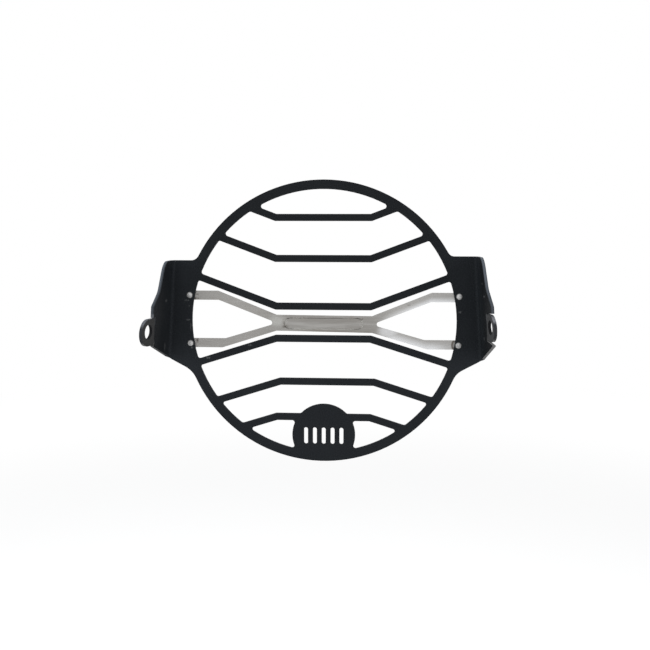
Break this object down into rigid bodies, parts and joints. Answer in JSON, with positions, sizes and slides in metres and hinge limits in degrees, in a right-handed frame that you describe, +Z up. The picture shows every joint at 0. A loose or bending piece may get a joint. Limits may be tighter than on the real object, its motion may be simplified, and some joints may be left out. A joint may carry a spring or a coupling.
{
  "type": "motorcycle headlight guard",
  "caption": "Round grille cut and folded from one steel sheet, with side wings, bolt tabs and a riveted brace, that shields a motorcycle's round headlight.",
  "frame": {"origin": "centre of the ring, on the sheet's rear face, on the headlight's axis", "axes": "+X to the right seen from behind, +Y forward, away from the headlight, +Z up"},
  "size_m": [0.2241, 0.062, 0.195],
  "materials": {
    "black_coat": "satin black powder coat",
    "bare_steel": "satin, lightly stained",
    "rivet_steel": "smooth, low shine"
  },
  "bodies": {
    "root": {"guard_plate": "black_coat", "brace": "bare_steel", "rivets": "rivet_steel"}
  },
  "joints": []
}
